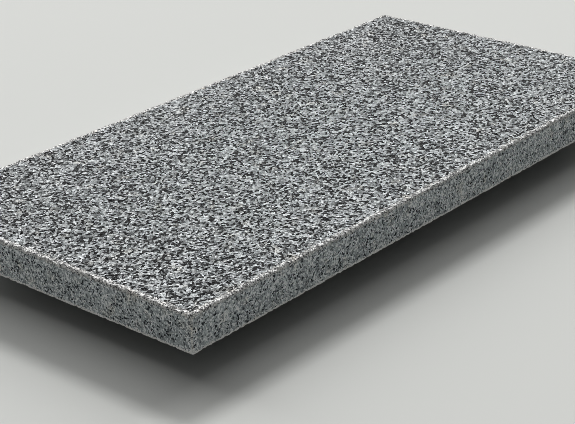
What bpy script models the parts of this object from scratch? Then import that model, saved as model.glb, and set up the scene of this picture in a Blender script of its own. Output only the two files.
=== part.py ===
"""Granite slab for tooling and stamping leather.

One sawn stone, with a rough working face, stands on four stick-on rubber feet.
Each foot is held to the underside by its own double-sided adhesive disc.
The origin is on the bench, under the middle of the slab. +X runs along its length, +Z up.
"""

import math

import bmesh
import bpy
from mathutils import Vector

# Driving dimensions, in metres. Each one can be changed by itself.
SLAB_LENGTH = 0.400
SLAB_WIDTH = 0.200
SLAB_THICKNESS = 0.020
CORNER_RADIUS = 0.0012  # the four upright corners, rubbed round
TOP_ARRIS = 0.0010  # the worn edge around the working face
BOTTOM_ARRIS = 0.0005  # the sharper edge around the underside

FOOT_HEIGHT = 0.0116
FOOT_RADIUS = 0.0125  # at the top, where the foot is glued
FOOT_DRAFT = math.radians(5.0)  # the side leans in towards the bench
FOOT_SOLE_ROUND = 0.0016  # radius of the edge that meets the bench
FOOT_RIM_ROUND = 0.0006  # radius of the edge under the adhesive
FOOT_INSET = 0.038  # from each side of the slab to the foot's axis

ADHESIVE_THICKNESS = 0.0008
ADHESIVE_MARGIN = 0.0010  # the disc stops this far inside the foot's top face

SEAT_CLEARANCE = 0.0003  # between two faces that touch on the real object

ROUND_SEGMENTS = 40
ARC_SEGMENTS = 3
SMOOTH_ANGLE = math.radians(35.0)

# Heights above the bench that follow from the sizes above.
ADHESIVE_BOTTOM = FOOT_HEIGHT + SEAT_CLEARANCE
ADHESIVE_TOP = ADHESIVE_BOTTOM + ADHESIVE_THICKNESS
SLAB_BOTTOM = ADHESIVE_TOP + SEAT_CLEARANCE
SLAB_TOP = SLAB_BOTTOM + SLAB_THICKNESS

# Which way each foot lies from the middle of the slab, along X and Y.
FOOT_SIDES = {
    "front_left": (-1, -1),
    "front_right": (1, -1),
    "back_left": (-1, 1),
    "back_right": (1, 1),
}


def clear_scene():
    for thing in list(bpy.data.objects):
        bpy.data.objects.remove(thing, do_unlink=True)


def make_material(name, colour, roughness, metallic=0.0):
    material = bpy.data.materials.new(name)
    material.use_nodes = True
    shader = material.node_tree.nodes["Principled BSDF"]
    shader.inputs["Base Color"].default_value = (*colour, 1.0)
    shader.inputs["Roughness"].default_value = roughness
    shader.inputs["Metallic"].default_value = metallic
    material.diffuse_color = (*colour, 1.0)
    return material


def add_object(name, mesh, material, parent, location):
    """One named piece, placed by its own location under the object's empty."""
    piece = bpy.data.objects.new(name, mesh)
    mesh.materials.clear()
    mesh.materials.append(material)
    bpy.context.collection.objects.link(piece)
    piece.parent = parent
    piece.location = location
    return piece


def mesh_from(bm, name):
    """A finished mesh with outward faces, round where it bends gently."""
    bmesh.ops.recalc_face_normals(bm, faces=bm.faces)
    mesh = bpy.data.meshes.new(name)
    bm.to_mesh(mesh)
    bm.free()
    mesh.shade_smooth()
    mesh.set_sharp_from_angle(angle=SMOOTH_ANGLE)
    return mesh


def level_edges(bm, height):
    """The edges that lie flat at one height."""
    tolerance = SEAT_CLEARANCE / 100
    return [e for e in bm.edges if all(abs(v.co.z - height) < tolerance for v in e.verts)]


def slab_mesh():
    """A box with rounded upright corners and broken arrises, centred, standing on z = 0."""
    bm = bmesh.new()
    bmesh.ops.create_cube(bm, size=1.0)
    for vert in bm.verts:
        vert.co.x *= SLAB_LENGTH
        vert.co.y *= SLAB_WIDTH
        vert.co.z = (vert.co.z + 0.5) * SLAB_THICKNESS
    upright = [e for e in bm.edges if abs(e.verts[0].co.z - e.verts[1].co.z) > SLAB_THICKNESS / 2]
    bmesh.ops.bevel(
        bm, geom=upright, offset=CORNER_RADIUS, segments=ARC_SEGMENTS, profile=0.5, affect="EDGES"
    )
    for height, arris in ((SLAB_THICKNESS, TOP_ARRIS), (0.0, BOTTOM_ARRIS)):
        bmesh.ops.bevel(
            bm,
            geom=level_edges(bm, height),
            offset=arris,
            segments=ARC_SEGMENTS,
            profile=0.5,
            affect="EDGES",
        )
    return mesh_from(bm, "slab")


def arc(centre, radius, start, end):
    """Points (r, z) on an arc, angles measured from the outward direction towards +Z."""
    return [
        (
            centre[0] + radius * math.cos(start + (end - start) * step / ARC_SEGMENTS),
            centre[1] + radius * math.sin(start + (end - start) * step / ARC_SEGMENTS),
        )
        for step in range(ARC_SEGMENTS + 1)
    ]


def turned_mesh(name, profile):
    """A solid of revolution about Z. The profile is (r, z) points from axis to axis."""
    bm = bmesh.new()
    chain = [bm.verts.new((r, 0.0, z)) for r, z in profile]
    edges = [bm.edges.new(pair) for pair in zip(chain, chain[1:])]
    bmesh.ops.spin(
        bm,
        geom=chain + edges,
        cent=(0.0, 0.0, 0.0),
        axis=(0.0, 0.0, 1.0),
        angle=2 * math.pi,
        steps=ROUND_SEGMENTS,
    )
    bmesh.ops.remove_doubles(bm, verts=bm.verts, dist=SEAT_CLEARANCE / 100)
    return mesh_from(bm, name)


def foot_mesh():
    """A moulded rubber foot: a drafted side between a rounded sole and a small top rim."""
    sole_radius = FOOT_RADIUS - FOOT_HEIGHT * math.tan(FOOT_DRAFT)
    sole_centre = (sole_radius - FOOT_SOLE_ROUND, FOOT_SOLE_ROUND)
    rim_centre = (FOOT_RADIUS - FOOT_RIM_ROUND, FOOT_HEIGHT - FOOT_RIM_ROUND)
    profile = [(0.0, 0.0)]
    profile += arc(sole_centre, FOOT_SOLE_ROUND, -math.pi / 2, -FOOT_DRAFT)
    profile += arc(rim_centre, FOOT_RIM_ROUND, -FOOT_DRAFT, math.pi / 2)
    profile += [(0.0, FOOT_HEIGHT)]
    return turned_mesh("foot", profile)


def adhesive_mesh():
    """A thin round disc of double-sided foam tape, standing on z = 0."""
    radius = FOOT_RADIUS - FOOT_RIM_ROUND - ADHESIVE_MARGIN
    profile = [(0.0, 0.0), (radius, 0.0), (radius, ADHESIVE_THICKNESS), (0.0, ADHESIVE_THICKNESS)]
    return turned_mesh("adhesive_disc", profile)


def foot_centre(sides):
    """The foot's axis, a fixed inset from the two sides of the slab nearest to it."""
    along, across = sides
    return Vector(
        (
            along * (SLAB_LENGTH / 2 - FOOT_INSET),
            across * (SLAB_WIDTH / 2 - FOOT_INSET),
            0.0,
        )
    )


def build():
    clear_scene()
    granite = make_material("granite", (0.235, 0.245, 0.250), 0.72)
    rubber = make_material("black_rubber", (0.022, 0.022, 0.023), 0.62)
    foam = make_material("adhesive_foam", (0.060, 0.060, 0.062), 0.80)

    base = bpy.data.objects.new("slab_base", None)
    bpy.context.collection.objects.link(base)

    add_object("granite_slab", slab_mesh(), granite, base, (0.0, 0.0, SLAB_BOTTOM))
    foot = foot_mesh()
    disc = adhesive_mesh()
    for corner, sides in FOOT_SIDES.items():
        centre = foot_centre(sides)
        add_object(f"foot_{corner}", foot, rubber, base, centre)
        disc_place = centre + Vector((0.0, 0.0, ADHESIVE_BOTTOM))
        add_object(f"adhesive_disc_{corner}", disc, foam, base, disc_place)


build()
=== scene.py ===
"""Looks of the granite tooling slab: the stone, its rubber feet and their adhesive discs.

The stone is a fine mesh around the CAD solid's box: rounded arrises, a rough working face of
tilted crystal facets, and small shell-shaped chips all along its edges.
"""

import math

import bmesh
import bpy
import numpy as np
from mathutils import Matrix, Vector, noise


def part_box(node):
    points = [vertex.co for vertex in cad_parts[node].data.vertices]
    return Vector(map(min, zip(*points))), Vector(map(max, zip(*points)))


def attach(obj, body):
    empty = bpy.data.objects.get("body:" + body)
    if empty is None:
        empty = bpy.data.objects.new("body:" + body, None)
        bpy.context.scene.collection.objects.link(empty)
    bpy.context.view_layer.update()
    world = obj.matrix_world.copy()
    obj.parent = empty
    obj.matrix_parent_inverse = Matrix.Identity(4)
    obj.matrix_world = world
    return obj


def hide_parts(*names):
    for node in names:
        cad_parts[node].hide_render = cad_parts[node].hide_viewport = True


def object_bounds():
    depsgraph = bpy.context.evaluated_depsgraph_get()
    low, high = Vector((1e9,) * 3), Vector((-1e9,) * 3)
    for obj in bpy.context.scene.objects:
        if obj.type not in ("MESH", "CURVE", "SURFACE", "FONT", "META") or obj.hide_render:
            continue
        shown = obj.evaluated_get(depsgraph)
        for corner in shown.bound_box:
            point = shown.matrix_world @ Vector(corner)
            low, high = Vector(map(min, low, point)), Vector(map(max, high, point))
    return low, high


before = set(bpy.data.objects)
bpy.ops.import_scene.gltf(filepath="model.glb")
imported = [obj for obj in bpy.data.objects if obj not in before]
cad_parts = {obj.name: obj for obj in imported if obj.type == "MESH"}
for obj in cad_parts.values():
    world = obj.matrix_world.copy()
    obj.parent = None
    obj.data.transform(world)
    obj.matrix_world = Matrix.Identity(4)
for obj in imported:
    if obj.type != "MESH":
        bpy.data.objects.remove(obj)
CAD_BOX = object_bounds()

MM = 0.001
SLAB_LOW, SLAB_HIGH = (np.array(corner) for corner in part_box("granite_slab"))
SLAB_SIZE = SLAB_HIGH - SLAB_LOW
SLAB_MIDDLE = (SLAB_LOW + SLAB_HIGH) / 2
FLOOR_HEIGHT = min(corner[2] for corner in CAD_BOX)

# The stone's mesh
CELL = 2.7 * MM  # underside; the other faces have half of this, the edges a quarter
CORNER_RADIUS = 1.1 * MM
TOP_ARRIS = 0.9 * MM
BOTTOM_ARRIS = 0.3 * MM
EDGE_BAND = 3.0 * MM  # how far the finest cells reach from an edge; the chips stay inside it
SKIN = 0.10 * MM  # how far the plain faces lie inside the CAD box, which leaves room for relief

# The relief of the working face, with its larger swells, and of the sawn faces
CRYSTAL_SIZE = 3.2 * MM
CRYSTAL_TILT = 0.55
CRYSTAL_STEP = 0.30 * MM  # how much the crystals differ in level
SWELL_SIZE, SWELL_HEIGHT = 9 * MM, 0.12 * MM
SAWN_SIZE, SAWN_HEIGHT = 4 * MM, 0.05 * MM
DEEPEST_HOLLOW = 0.9 * MM
WORKED_FROM, WORKED_SPAN = 0.35, 0.5  # from which upward slope the surface turns rough

# Chips: spacing, greatest length, greatest depth and what every depth has added, in millimetres
SEED = 11
UPPER_CHIPS = (1.6, 4.5, 0.75, 0.20)
OTHER_CHIPS = (1.5, 3.5, 0.80, 0.0)
SHORTEST_CHIP, SHALLOWEST_CHIP = 1.0, 0.10
CHIP_BIAS = 2.2  # above 1, small chips outnumber large ones
FULLY_BROKEN = 0.20 * MM  # a cut this deep shows only broken stone

# The feet and the discs that hold them
FOOT_DRAFT = math.radians(5.0)
FOOT_SOLE_ROUND = 1.6 * MM
FOOT_RIM_ROUND = 0.6 * MM
FOOT_DIMPLE = 0.4 * MM  # depth of the moulding mark in the middle of the sole
FOOT_DIMPLE_CURVE = 6 * MM  # radius of its dome
FOOT_DIMPLE_END = math.radians(69)  # where the dome comes down to the sole
FOOT_SEAM = 0.3 * MM  # half the width of the fine groove the mould leaves round the wall
FOOT_SEAM_LEVEL = 0.62  # as a share of the foot's height
DISC_WAIST = 0.12 * MM

# The stone's colours. Sizes are in millimetres, and each tone is a position and a colour
COARSE_GRAIN, FINE_GRAIN, SAWN_GRAIN = 1.3, 0.65, 0.85
COARSE_SHARE, FINE_SHARE = 0.78, 0.22  # on the working face
SAWN_SHARE, SAWN_COARSE_SHARE = 0.8, 0.2
CLUSTER, DRIFT = 6.0, 0.24  # the size of lighter and darker patches, and how much they differ
SAWN_DRIFT = 2.5  # how much more they differ on the sawn faces
STAIN = 11.0
WANDER_SIZE, WANDER = 1.2, 0.6  # how the grains' outlines bend
TOP_TONES = (
    (0.31, (0.001, 0.0012, 0.0015)),
    (0.36, (0.03, 0.0325, 0.034)),
    (0.40, (0.18, 0.194, 0.20)),
    (0.47, (0.38, 0.405, 0.415)),
    (0.56, (0.67, 0.71, 0.725)),
    (0.70, (0.95, 0.99, 1.0)),
)
SAWN_TONES = (
    (0.10, (0.03, 0.034, 0.04)),
    (0.28, (0.32, 0.35, 0.365)),
    (0.58, (0.52, 0.565, 0.58)),
    (0.74, (0.84, 0.87, 0.885)),
    (0.95, (0.95, 0.96, 0.96)),
)
# the pale crushed colour also serves as a painted highlight along the lower edge
CRUSHED_DARK, PALE_CRUSH_AND_RIM_HIGHLIGHT = (0.12, 0.12, 0.12, 1.0), (1.0, 1.0, 0.98, 1.0)
# painted shade: the colour that faces looking down are darkened towards, to keep bounce light out
# of the shadow under the slab
UNDERSIDE_PAINTED_SHADE = (0.02, 0.02, 0.02, 1.0)
STAIN_TINT = (1.0, 0.93, 0.84, 1.0)
RELIEF, SAWN_RELIEF = 1.5, 0.12  # of the grains, and what share of it the sawn faces have

# The colours of the feet and the discs
RUBBER, DUST = (0.014, 0.014, 0.015, 1.0), (0.075, 0.073, 0.068, 1.0)
FOAM, SOILED_FOAM = (0.075, 0.074, 0.073, 1.0), (0.050, 0.049, 0.046, 1.0)
# painted shade for the hollows of the foam's open cells
FOAM_PORE_SHADE = (0.018, 0.018, 0.018, 1.0)

# The worn band along the edges, in millimetres
WEAR_SIZE = 1.6  # of its teeth
WEAR_SWING, WEAR_START = 5.0, -1.6  # its width is the swing times a noise, plus the start
WORKED_WEAR, LOWER_WEAR, UPPER_WEAR = 1.5, 0.6, 0.8  # what each of these places adds to it
WEAR_FADE = (-0.3, 0.15)  # from full wear to none, across its outer limit
LOWER_BAND = (2.0, 4.0)  # above the underside
UPPER_BAND = (5.0, 2.0)  # below the working face

# The view: the camera's place from the middle of the working face, in slab lengths
CAMERA_FROM_FACE = Vector((-1.6388, -1.3926, 0.8409))
CAMERA_HEADING = math.radians(48.79)  # clockwise from +Y
CAMERA_PITCH = math.radians(24.09)  # below the horizon
CAMERA_ROLL = math.radians(-1.62)
SENSOR = 36.0
LENS = 103.48
PIXEL_FILTER = 0.6  # in pixels, narrow enough to keep the fine grain

# The stage
FLOOR_REACH = 12.0
FLOOR_COLOUR = (0.68, 0.688, 0.662, 1.0)
LIGHT_DISTANCE = 30.0
SKY_COLOUR = (0.95, 0.96, 0.97, 1.0)
SKY_LIGHT = 0.10  # its strength as light on the slab and the floor
SKY_SEEN = 0.64  # its strength where the camera sees it


# ---------------------------------------------------------------- mesh of the stone


def lines_between(low, high, pitch):
    """Evenly spaced places from low to high, about a pitch apart."""
    return np.linspace(low, high, max(2, round((high - low) / pitch)) + 1)


def lattice_box(xs, ys, zs):
    """The outer skin of a block of cells: points, and four-sided faces that point out."""
    shape = (len(xs), len(ys), len(zs))
    skin = np.zeros(shape, bool)
    for axis in range(3):
        side = np.moveaxis(skin, axis, 0)
        side[0] = side[-1] = True
    index = np.full(shape, -1)
    index[skin] = np.arange(skin.sum())
    points = np.stack(np.meshgrid(xs, ys, zs, indexing="ij"), axis=-1)[skin]
    faces = []
    for axis in range(3):
        for end in (0, -1):
            sheet = np.moveaxis(index, axis, 0)[end]
            corners = (sheet[:-1, :-1], sheet[1:, :-1], sheet[1:, 1:], sheet[:-1, 1:])
            quads = np.stack(corners, axis=-1).reshape(-1, 4)
            points_in = (end == 0) != (axis == 1)
            faces.append(quads[:, ::-1] if points_in else quads)
    return points, np.concatenate(faces)


def refine(bm, chosen):
    """Halves every edge whose middle is in the chosen region."""
    middles = np.array([(e.verts[0].co + e.verts[1].co) / 2 for e in bm.edges])
    wanted = chosen(middles)
    bmesh.ops.subdivide_edges(
        bm, edges=[e for e, yes in zip(bm.edges, wanted) if yes], cuts=1, use_grid_fill=True
    )


def depths(points):
    """How far each point lies in from the nearer face of the slab along X, Y and Z."""
    return SLAB_SIZE / 2 - np.abs(points - SLAB_MIDDLE)


def near_an_edge(points, reach):
    """Whether each point of the skin lies within reach of an edge of the slab."""
    second_smallest = np.sort(depths(points), axis=1)[:, 1]
    return second_smallest < reach


def stone_grid():
    """The skin of the sharp box, in cells that get finer towards the edges."""
    lattice = [lines_between(SLAB_LOW[i], SLAB_HIGH[i], CELL) for i in range(3)]
    points, faces = lattice_box(*lattice)
    mesh = bpy.data.meshes.new("granite")
    mesh.from_pydata(points.tolist(), [], faces.tolist())
    bm = bmesh.new()
    bm.from_mesh(mesh)
    off_the_base = SLAB_LOW[2] + CELL / 10
    refine(bm, lambda p: (p[:, 2] > off_the_base) | near_an_edge(p, 2 * EDGE_BAND))
    refine(bm, lambda p: near_an_edge(p, EDGE_BAND))
    bmesh.ops.triangulate(bm, faces=[f for f in bm.faces if len(f.verts) > 4])
    bm.to_mesh(mesh)
    bm.free()
    return mesh


def read(mesh, what):
    """One three-part property of every point of a mesh."""
    values = np.empty(len(mesh.vertices) * 3, np.float32)
    mesh.vertices.foreach_get(what, values)
    return values.reshape(-1, 3).astype(float)


def write(mesh, points):
    """Moves a mesh's points."""
    mesh.vertices.foreach_set("co", points.astype(np.float32).ravel())
    mesh.update()


def rounded_square(u, v):
    """Draws points with u and v above zero in, until the larger of the two is their distance."""
    inside = (u > 0) & (v > 0)
    reach = np.maximum(u, v)
    length = np.maximum(np.hypot(u, v), 1e-12)
    return np.where(inside, u / length * reach, u), np.where(inside, v / length * reach, v)


def round_the_box(points):
    """Rounds the upright corners, then the arrises, of the sharp box."""
    half = SLAB_SIZE / 2 - SKIN
    local = (points - SLAB_MIDDLE) * (half / (SLAB_SIZE / 2))
    sign = np.where(local < 0, -1.0, 1.0)
    x, y, z = np.abs(local).T
    u, v = x - (half[0] - CORNER_RADIUS), y - (half[1] - CORNER_RADIUS)
    in_corner = (u > 0) & (v > 0)
    from_a_side = np.minimum(half[0] - x, half[1] - y)
    depth = np.where(in_corner, CORNER_RADIUS - np.maximum(u, v), from_a_side)
    u, v = rounded_square(u, v)
    x, y = u + half[0] - CORNER_RADIUS, v + half[1] - CORNER_RADIUS
    nearer_in_x = half[0] - x < half[1] - y
    along_x = np.where(in_corner, u, nearer_in_x.astype(float))
    along_y = np.where(in_corner, v, 1.0 - nearer_in_x)
    length = np.maximum(np.hypot(along_x, along_y), 1e-12)
    arris = np.where(local[:, 2] > 0, TOP_ARRIS, BOTTOM_ARRIS)
    out, up = arris - depth, z - (half[2] - arris)
    new_out, new_up = rounded_square(out, up)
    in_arris = (out > 0) & (up > 0)
    drawn_in = np.where(in_arris, out - new_out, 0.0)
    x = x - drawn_in * along_x / length
    y = y - drawn_in * along_y / length
    z = np.where(in_arris, new_up + half[2] - arris, z)
    return SLAB_MIDDLE + sign * np.stack([x, y, z], axis=1)


def crystal_relief(points):
    """Heights of broken crystals: each has its own level and leans its own way."""
    heights = np.empty(len(points))
    even = Vector((0.5, 0.5, 0.5))
    scatter = 7.3  # sets neighbouring crystals' random values apart
    for i, point in enumerate(points / CRYSTAL_SIZE):
        centre = noise.voronoi(point)[1][0]
        lean = noise.cell_vector(centre * scatter)
        offset = Vector(point) - centre
        level = (lean.z - 0.5) * CRYSTAL_STEP
        heights[i] = level + (lean - even).dot(offset) * CRYSTAL_TILT * CRYSTAL_SIZE
    return heights


def soft_noise(points, size):
    """Smooth noise of two octaves, with features of about the given size."""
    return np.array([noise.fractal(p, 1.0, 2.0, 2) for p in points / size])


def slab_edges():
    """The twelve edges: each one's axis, and the two outward directions that meet there."""
    for along in range(3):
        first, second = [axis for axis in range(3) if axis != along]
        for sign_1 in (-1, 1):
            for sign_2 in (-1, 1):
                yield along, first, sign_1, second, sign_2


def chip_edges(points, rng):
    """Scoops shell-shaped chips out of every edge, and says how deep each point was cut."""
    start = points.copy()
    close = np.flatnonzero(near_an_edge(points, EDGE_BAND))
    band = points[close]
    low, high = SLAB_LOW + SKIN, SLAB_HIGH - SKIN
    for along, first, sign_1, second, sign_2 in slab_edges():
        upper = second == 2 and sign_2 > 0
        spacing, longest, deepest, added = UPPER_CHIPS if upper else OTHER_CHIPS
        count = int((high[along] - low[along]) / (spacing * MM))
        near_line = np.ones(len(band), bool)
        for axis, sign in ((first, sign_1), (second, sign_2)):
            near_line &= sign * (band[:, axis] - (high if sign > 0 else low)[axis]) > -EDGE_BAND
        chosen = np.flatnonzero(near_line)
        for place in rng.uniform(low[along], high[along], count):
            size = rng.random() ** CHIP_BIAS
            length = (SHORTEST_CHIP + (longest - SHORTEST_CHIP) * size) * MM
            fullness = size * rng.uniform(0.5, 1.0)
            depth = (SHALLOWEST_CHIP + (deepest - SHALLOWEST_CHIP) * fullness) * MM
            depth += added * MM
            radius = (length * length / 4 + depth * depth) / (2 * depth)
            lean = rng.uniform(0.2, 0.8)
            away = np.zeros(3)
            away[first], away[second] = sign_1 * lean, sign_2 * (1 - lean)
            away /= np.linalg.norm(away)
            edge = np.zeros(3)
            edge[along] = place
            edge[first] = (high if sign_1 > 0 else low)[first]
            edge[second] = (high if sign_2 > 0 else low)[second]
            centre = edge + away * (radius - depth)
            offset = band[chosen] - centre
            distance = np.linalg.norm(offset, axis=1)
            hit = distance < radius
            band[chosen[hit]] = centre + offset[hit] * (radius / distance[hit])[:, None]
    points[close] = band
    return np.linalg.norm(points - start, axis=1)


def stone_mesh():
    """The whole stone, with how worked and how broken its surface is at each point."""
    rng = np.random.default_rng(SEED)
    mesh = stone_grid()
    points = round_the_box(read(mesh, "co"))
    write(mesh, points)
    normals = read(mesh, "normal")
    top = np.clip((normals[:, 2] - WORKED_FROM) / WORKED_SPAN, 0.0, 1.0)
    relief = np.zeros(len(points))
    rough = np.flatnonzero(top > 0)
    relief[rough] = top[rough] * (
        crystal_relief(points[rough])
        + SWELL_HEIGHT * soft_noise(points[rough], SWELL_SIZE)
    )
    relief += (1 - top) * SAWN_HEIGHT * soft_noise(points, SAWN_SIZE)
    points += normals * np.clip(relief, -DEEPEST_HOLLOW, 0.9 * SKIN)[:, None]
    cut = chip_edges(points, rng)
    write(mesh, points)
    for name, values in (("worked", top), ("broken", np.clip(cut / FULLY_BROKEN, 0, 1))):
        layer = mesh.attributes.new(name, "FLOAT", "POINT")
        layer.data.foreach_set("value", values.astype(np.float32))
    mesh.shade_smooth()
    return mesh


# ---------------------------------------------------------------- meshes of the feet and discs


def arc(centre, radius, start, end, steps=8):
    """Points of a circular arc between two angles."""
    angles = np.linspace(start, end, steps + 1)
    return [(centre[0] + radius * math.cos(a), centre[1] + radius * math.sin(a)) for a in angles]


def foot_profile(radius, height):
    """Radius and height from the sole's middle, round the outside, to the top's middle."""
    lean = math.tan(FOOT_DRAFT)
    sole = radius - height * lean
    dome = (0.0, FOOT_DIMPLE - FOOT_DIMPLE_CURVE)
    profile = arc(dome, FOOT_DIMPLE_CURVE, math.pi / 2, FOOT_DIMPLE_END)
    profile += [(sole * share, 0.0) for share in (0.25, 0.45, 0.65)]
    profile += arc((sole - FOOT_SOLE_ROUND, FOOT_SOLE_ROUND), FOOT_SOLE_ROUND, -math.pi / 2, 0.0)
    seam = FOOT_SEAM_LEVEL * height
    for rise, inward in ((-3, 0), (-1, 0), (-0.5, 0.6), (0, 1), (0.5, 0.6), (1, 0), (4, 0)):
        z = seam + rise * FOOT_SEAM
        profile.append((sole + z * lean - inward * FOOT_SEAM / 2, z))
    rim = (radius - FOOT_RIM_ROUND, height - FOOT_RIM_ROUND)
    profile += arc(rim, FOOT_RIM_ROUND, 0.0, math.pi / 2)
    return profile + [(rim[0] * share, height) for share in (0.7, 0.4, 0.0)]


def disc_profile(radius, height):
    """A die-cut foam disc: its wall is drawn in a little at mid-height."""
    rise = np.linspace(0, 1, 9)
    waist = [(radius - DISC_WAIST * math.sin(math.pi * t), height * t) for t in rise]
    flat = (0.0, 0.3, 0.6, 0.85)
    return [(radius * t, 0.0) for t in flat] + waist + [(radius * t, height) for t in flat[::-1]]


def turned(name, node, profile_for, grain, roughness, rounds=120):
    """Turns a profile about the axis of a CAD node's box and roughens it inwards."""
    low, high = (np.array(corner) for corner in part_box(node))
    middle = Vector(((low[0] + high[0]) / 2, (low[1] + high[1]) / 2, low[2]))
    profile = profile_for((high[0] - low[0]) / 2, high[2] - low[2])
    turns = np.linspace(0, 2 * math.pi, rounds, endpoint=False)
    rings = [(r, z) for r, z in profile if r > 0]
    ring = np.array([[(r * math.cos(a), r * math.sin(a), z) for a in turns] for r, z in rings])
    points = ring.reshape(-1, 3)
    shrink = roughness * np.clip(0.5 + 0.5 * soft_noise(points + middle, grain), 0, 1)
    points[:, :2] *= 1 - shrink[:, None] / max(r for r, _ in rings)
    ends = [(0.0, 0.0, profile[0][1]), (0.0, 0.0, profile[-1][1])]
    faces = []
    for i in range(rounds):
        j = (i + 1) % rounds
        faces.append((len(points), j, i))
        last = (len(rings) - 1) * rounds
        faces.append((len(points) + 1, last + i, last + j))
        for k in range(0, last, rounds):
            faces.append((k + i, k + j, k + rounds + j, k + rounds + i))
    mesh = bpy.data.meshes.new(name)
    mesh.from_pydata(points.tolist() + ends, [], faces)
    mesh.shade_smooth()
    piece = bpy.data.objects.new(name, mesh)
    piece.location = middle
    bpy.context.collection.objects.link(piece)
    return piece


# ---------------------------------------------------------------- materials


class Tree:
    """A material's nodes, with short ways to add the kinds that are used here."""

    def __init__(self, name):
        self.material = bpy.data.materials.new(name)
        self.material.use_nodes = True
        self.nodes = self.material.node_tree.nodes
        self.links = self.material.node_tree.links
        self.shader = self.nodes["Principled BSDF"]

    def put(self, socket, value):
        if isinstance(value, bpy.types.NodeSocket):
            self.links.new(value, socket)
        else:
            socket.default_value = value

    def add(self, kind, inputs=(), **settings):
        node = self.nodes.new(kind)
        for key, value in settings.items():
            setattr(node, key, value)
        for key, value in dict(inputs).items():
            self.put(node.inputs[key], value)
        return node

    def maths(self, operation, a, b=0.0, c=0.0):
        node = self.add("ShaderNodeMath", {0: a, 1: b, 2: c}, operation=operation)
        return node.outputs[0]

    def vector(self, operation, a, b=(0.0, 0.0, 0.0), scale=1.0):
        node = self.add("ShaderNodeVectorMath", {0: a, 1: b, 3: scale}, operation=operation)
        return node.outputs["Value" if operation == "DOT_PRODUCT" else "Vector"]

    def between(self, value, low, high, to_low=0.0, to_high=1.0):
        inputs = {0: value, 1: low, 2: high, 3: to_low, 4: to_high}
        return self.add("ShaderNodeMapRange", inputs).outputs[0]

    def mix(self, share, a, b, blend="MIX"):
        node = self.add("ShaderNodeMix", data_type="RGBA", blend_type=blend)
        for key, value in (("Factor_Float", share), ("A_Color", a), ("B_Color", b)):
            socket = next(s for s in node.inputs if s.identifier == key)
            self.put(socket, value)
        return next(s for s in node.outputs if s.identifier == "Result_Color")

    def noise(self, place, size, detail=2.0, roughness=0.5):
        inputs = {"Vector": place, "Scale": 1.0 / size, "Detail": detail, "Roughness": roughness}
        return self.add("ShaderNodeTexNoise", inputs)

    def cells(self, place, size):
        inputs = {"Vector": place, "Scale": 1.0 / size, "Randomness": 1.0}
        return self.add("ShaderNodeTexVoronoi", inputs)

    def channel(self, colour, which):
        return self.add("ShaderNodeSeparateColor", {0: colour}).outputs[which]

    def height_above(self, place):
        return self.add("ShaderNodeSeparateXYZ", {0: place}).outputs[2]

    def ramp(self, value, stops):
        node = self.add("ShaderNodeValToRGB", {0: value})
        elements = node.color_ramp.elements
        while len(elements) < len(stops):
            elements.new(0.5)
        for element, (position, colour) in zip(elements, stops):
            element.position = position
            element.color = (*colour, 1.0)
        return node.outputs["Color"]

    def attribute(self, name):
        return self.add("ShaderNodeAttribute", attribute_name=name).outputs["Fac"]

    def place(self):
        """Where a point is on the object, in millimetres."""
        where = self.add("ShaderNodeTexCoord").outputs["Object"]
        return self.vector("SCALE", where, scale=1.0 / MM)


def facets(tree, place, size):
    """Random flat crystal faces: a height in millimetres and the random values of each crystal."""
    cells = tree.cells(place, size)
    grain = cells.outputs["Color"]
    inside = tree.vector("SUBTRACT", place, cells.outputs["Position"])
    lean = tree.vector("SUBTRACT", grain, (0.5, 0.5, 0.5))
    height = tree.vector("DOT_PRODUCT", inside, lean)
    return height, grain


def edge_distance(tree, place):
    """How far a point of the slab's skin lies from the nearest edge, in millimetres."""
    from_middle = tree.vector("SUBTRACT", place, tuple(SLAB_MIDDLE / MM))
    off_middle = tree.vector("ABSOLUTE", from_middle)
    inwards = tree.vector("SUBTRACT", tuple(SLAB_SIZE / 2 / MM), off_middle)
    x, y, z = tree.add("ShaderNodeSeparateXYZ", {0: inwards}).outputs
    nearer = tree.maths("MINIMUM", x, y)
    return tree.maths("MAXIMUM", nearer, tree.maths("MINIMUM", tree.maths("MAXIMUM", x, y), z))


def edge_wear(tree, place, worked, lower, upper):
    """A ragged band along the edges, together with the chips: 1 inside it and 0 outside."""
    raggedness = tree.noise(place, WEAR_SIZE, detail=4.0, roughness=0.75).outputs["Fac"]
    reach = tree.maths("MULTIPLY_ADD", raggedness, WEAR_SWING, WEAR_START)
    for share, wider in ((worked, WORKED_WEAR), (lower, LOWER_WEAR), (upper, UPPER_WEAR)):
        reach = tree.maths("MULTIPLY_ADD", share, wider, reach)
    outside = tree.maths("SUBTRACT", edge_distance(tree, place), reach)
    rubbed = tree.between(outside, *WEAR_FADE, 1.0, 0.0)
    return tree.maths("MAXIMUM", tree.attribute("broken"), rubbed)


def working_colour(tree, pick, fine_pick, drift):
    """Dark and pale grains of the working face, in two sizes."""
    coarse = tree.maths("MULTIPLY", pick, COARSE_SHARE)
    tone = tree.maths("ADD", tree.maths("MULTIPLY_ADD", fine_pick, FINE_SHARE, coarse), drift)
    return tree.ramp(tone, TOP_TONES)


def sawn_colour(tree, bent, pick, drift):
    """The finer and flatter specks of the sawn faces."""
    _, speck = facets(tree, bent, SAWN_GRAIN)
    coarse = tree.maths("MULTIPLY", pick, SAWN_COARSE_SHARE)
    mottle = tree.maths("MULTIPLY_ADD", tree.channel(speck, 0), SAWN_SHARE, coarse)
    return tree.ramp(tree.maths("MULTIPLY_ADD", drift, SAWN_DRIFT, mottle), SAWN_TONES)


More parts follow.
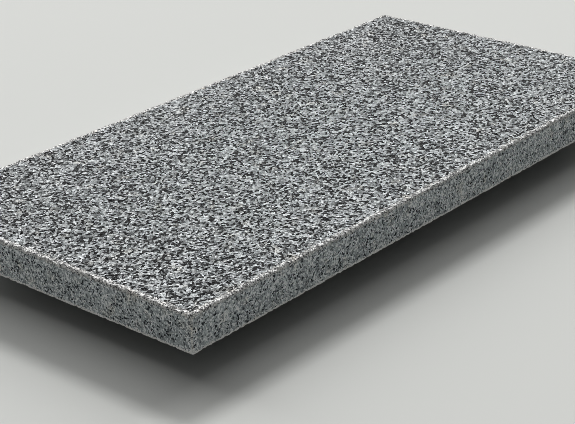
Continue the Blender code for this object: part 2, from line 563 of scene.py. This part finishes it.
def granite_material():
    """Granite that is split on top and sawn elsewhere, with paler, broken stone at the edges,
    paler still along the lower edge partly as a painted highlight, and painted shade on the
    underside.
    """
    tree = Tree("granite_stone")
    place = tree.place()
    worked = tree.attribute("worked")
    height_above = tree.height_above(place)
    low, high = float(SLAB_LOW[2] / MM), float(SLAB_HIGH[2] / MM)
    lower = tree.between(height_above, low + LOWER_BAND[0], low + LOWER_BAND[1], 1.0, 0.0)
    upper = tree.between(height_above, high - UPPER_BAND[0], high - UPPER_BAND[1])
    broken = edge_wear(tree, place, worked, lower, upper)

    wander = tree.noise(place, WANDER_SIZE, detail=1.0).outputs["Color"]
    bent = tree.vector("ADD", place, tree.vector("SCALE", wander, scale=WANDER))
    height, grain = facets(tree, bent, COARSE_GRAIN)
    fine_height, fine_grain = facets(tree, bent, FINE_GRAIN)
    pick, fine_pick = tree.channel(grain, 0), tree.channel(fine_grain, 1)
    clusters = tree.noise(place, CLUSTER, detail=3.0, roughness=0.6).outputs["Fac"]
    drift = tree.maths("MULTIPLY_ADD", clusters, DRIFT, -DRIFT / 2)

    sawn = sawn_colour(tree, bent, pick, drift)
    colour = tree.mix(worked, sawn, working_colour(tree, pick, fine_pick, drift))
    pale_grains = tree.between(fine_pick, 0.12, 0.3)
    # Near the underside the band is pushed pale: partly real crushed stone, partly a painted
    # highlight on the lower rim.
    pale = tree.maths("MAXIMUM", pale_grains, tree.maths("MULTIPLY", lower, 0.85))
    crushed_and_rim_highlight = tree.mix(pale, CRUSHED_DARK, PALE_CRUSH_AND_RIM_HIGHLIGHT)
    colour = tree.mix(tree.maths("MULTIPLY", broken, 0.95), colour, crushed_and_rim_highlight)
    facing = tree.add("ShaderNodeNewGeometry").outputs["Normal"]
    downward = tree.vector("DOT_PRODUCT", facing, (0.0, 0.0, -1.0))
    # Painted shade: faces that look down are darkened up to 0.55 of the way to near black.
    colour = tree.mix(tree.between(downward, 0.8, 1.0, 0.0, 0.55), colour, UNDERSIDE_PAINTED_SHADE)
    stain = tree.noise(place, STAIN, detail=3.0, roughness=0.6).outputs["Fac"]
    stained = tree.between(stain, 0.56, 0.72, 0.0, 0.7)
    colour = tree.mix(stained, colour, STAIN_TINT, "MULTIPLY")
    tree.put(tree.shader.inputs["Base Color"], colour)
    tree.put(tree.shader.inputs["Roughness"], tree.between(fine_pick, 0.0, 1.0, 0.5, 0.9))
    tree.put(tree.shader.inputs["Specular IOR Level"], 0.05)

    relief = tree.maths("MULTIPLY", tree.maths("ADD", height, fine_height), RELIEF)
    split = tree.maths("MULTIPLY", broken, tree.maths("SUBTRACT", 1.0, lower))
    amount = tree.between(tree.maths("MAXIMUM", worked, split), 0.0, 1.0, SAWN_RELIEF, 1.0)
    inputs = {"Height": tree.maths("MULTIPLY", relief, amount), "Distance": MM, "Strength": 1.0}
    tree.put(tree.shader.inputs["Normal"], tree.add("ShaderNodeBump", inputs).outputs[0])
    return tree.material


def rubber_material():
    """Moulded black rubber: a fine satin grain with a trace of pale dust in patches."""
    tree = Tree("foot_rubber")
    place = tree.place()
    grain = tree.noise(place, 0.25, detail=4.0, roughness=0.65).outputs["Fac"]
    dust = tree.noise(place, 3.5, detail=3.0, roughness=0.6).outputs["Fac"]
    dusty = tree.between(dust, 0.5, 0.75, 0.0, 0.5)
    colour = tree.mix(dusty, RUBBER, DUST)
    tree.put(tree.shader.inputs["Base Color"], colour)
    tree.put(tree.shader.inputs["Roughness"], tree.between(dust, 0.3, 0.7, 0.52, 0.8))
    inputs = {"Height": grain, "Distance": 0.08 * MM, "Strength": 0.8}
    tree.put(tree.shader.inputs["Normal"], tree.add("ShaderNodeBump", inputs).outputs[0])
    return tree.material


def foam_material():
    """Closed-cell adhesive foam: dark grey, with small pores darkened by painted shade."""
    tree = Tree("disc_foam")
    place = tree.place()
    pores = tree.cells(place, 0.22)
    wall = tree.between(pores.outputs["Distance"], 0.1, 0.55)
    stain = tree.noise(place, 4.0, detail=3.0).outputs["Fac"]
    skin = tree.mix(tree.between(stain, 0.35, 0.7), FOAM, SOILED_FOAM)
    # Painted shade: the colour darkens towards each pore's middle.
    colour = tree.mix(wall, FOAM_PORE_SHADE, skin)
    tree.put(tree.shader.inputs["Base Color"], colour)
    tree.put(tree.shader.inputs["Roughness"], 0.9)
    inputs = {"Height": wall, "Distance": 0.1 * MM, "Strength": 0.7}
    tree.put(tree.shader.inputs["Normal"], tree.add("ShaderNodeBump", inputs).outputs[0])
    return tree.material


# ---------------------------------------------------------------- the stage, the lights, the view


def add_floor():
    """A plain pale floor under the feet."""
    mesh = bpy.data.meshes.new("studio_floor")
    corners = [(x * FLOOR_REACH, y * FLOOR_REACH) for x, y in ((-1, -1), (1, -1), (1, 1), (-1, 1))]
    mesh.from_pydata([(x, y, FLOOR_HEIGHT) for x, y in corners], [], [(0, 1, 2, 3)])
    floor = bpy.data.objects.new("studio_floor", mesh)
    bpy.context.collection.objects.link(floor)
    tree = Tree("floor_card")
    tree.put(tree.shader.inputs["Base Color"], FLOOR_COLOUR)
    tree.put(tree.shader.inputs["Roughness"], 0.9)
    tree.put(tree.shader.inputs["Specular IOR Level"], 0.2)
    mesh.materials.append(tree.material)


def add_light(name, bearing, height, size, power):
    """A soft panel that faces the slab. Its bearing is counter-clockwise from +X, in degrees."""
    bearing, height = math.radians(bearing), math.radians(height)
    flat = math.cos(height)
    towards = Vector((math.cos(bearing) * flat, math.sin(bearing) * flat, math.sin(height)))
    data = bpy.data.lights.new(name, "AREA")
    data.shape = "RECTANGLE"
    data.size, data.size_y = size
    data.energy = power
    lamp = bpy.data.objects.new(name, data)
    lamp.location = towards * LIGHT_DISTANCE
    lamp.rotation_euler = towards.to_track_quat("Z", "Y").to_euler()
    lamp.visible_camera = False
    bpy.context.collection.objects.link(lamp)


def add_lights():
    """Soft panels far off behind the slab, so that its near sides stand in shade."""
    add_light("back_strip", bearing=39.5, height=38.0, size=(9.8, 1.2), power=4700.0)
    add_light("right_window", bearing=15.1, height=25.3, size=(15.5, 17.6), power=4950.0)
    add_light("left_window", bearing=72.7, height=25.0, size=(25.5, 25.6), power=7750.0)


def add_world():
    """A weak, even sky, which the camera sees as a pale backdrop."""
    world = bpy.data.worlds.new("studio")
    bpy.context.scene.world = world
    world.use_nodes = True
    nodes, links = world.node_tree.nodes, world.node_tree.links
    seen = nodes.new("ShaderNodeLightPath").outputs["Is Camera Ray"]
    background = nodes["Background"]
    background.inputs["Color"].default_value = SKY_COLOUR
    strength = nodes.new("ShaderNodeMapRange")
    links.new(seen, strength.inputs[0])
    strength.inputs[3].default_value = SKY_LIGHT
    strength.inputs[4].default_value = SKY_SEEN
    links.new(strength.outputs[0], background.inputs["Strength"])


def add_camera():
    data = bpy.data.cameras.new("camera")
    data.sensor_width = SENSOR
    data.lens = LENS
    camera = bpy.data.objects.new("camera", data)
    bpy.context.collection.objects.link(camera)
    face = Vector((SLAB_MIDDLE[0], SLAB_MIDDLE[1], SLAB_HIGH[2]))
    turn = Matrix.Rotation(-CAMERA_HEADING, 4, "Z")
    tip = Matrix.Rotation(math.pi / 2 - CAMERA_PITCH, 4, "X")
    roll = Matrix.Rotation(CAMERA_ROLL, 4, "Z")
    place = Matrix.Translation(face + CAMERA_FROM_FACE * float(SLAB_SIZE[0]))
    camera.matrix_world = place @ turn @ tip @ roll
    bpy.context.scene.camera = camera


add_camera()
stone = bpy.data.objects.new("granite_stone", stone_mesh())
bpy.context.collection.objects.link(stone)
stone.data.materials.append(granite_material())
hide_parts("granite_slab")
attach(stone, "root")
rubber, foam = rubber_material(), foam_material()
for corner in ("front_left", "front_right", "back_left", "back_right"):
    node = "foot_" + corner
    foot = turned("rubber_" + node, node, foot_profile, grain=1.5 * MM, roughness=0.04 * MM)
    foot.data.materials.append(rubber)
    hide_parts(node)
    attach(foot, "root")
    node = "adhesive_disc_" + corner
    disc = turned("foam_" + node, node, disc_profile, grain=0.6 * MM, roughness=0.15 * MM)
    disc.data.materials.append(foam)
    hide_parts(node)
    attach(disc, "root")
add_floor()
add_lights()
add_world()
bpy.context.scene.view_settings.view_transform = "Standard"
bpy.context.scene.cycles.filter_width = PIXEL_FILTER
bpy.context.scene.cycles.denoising_prefilter = "NONE"
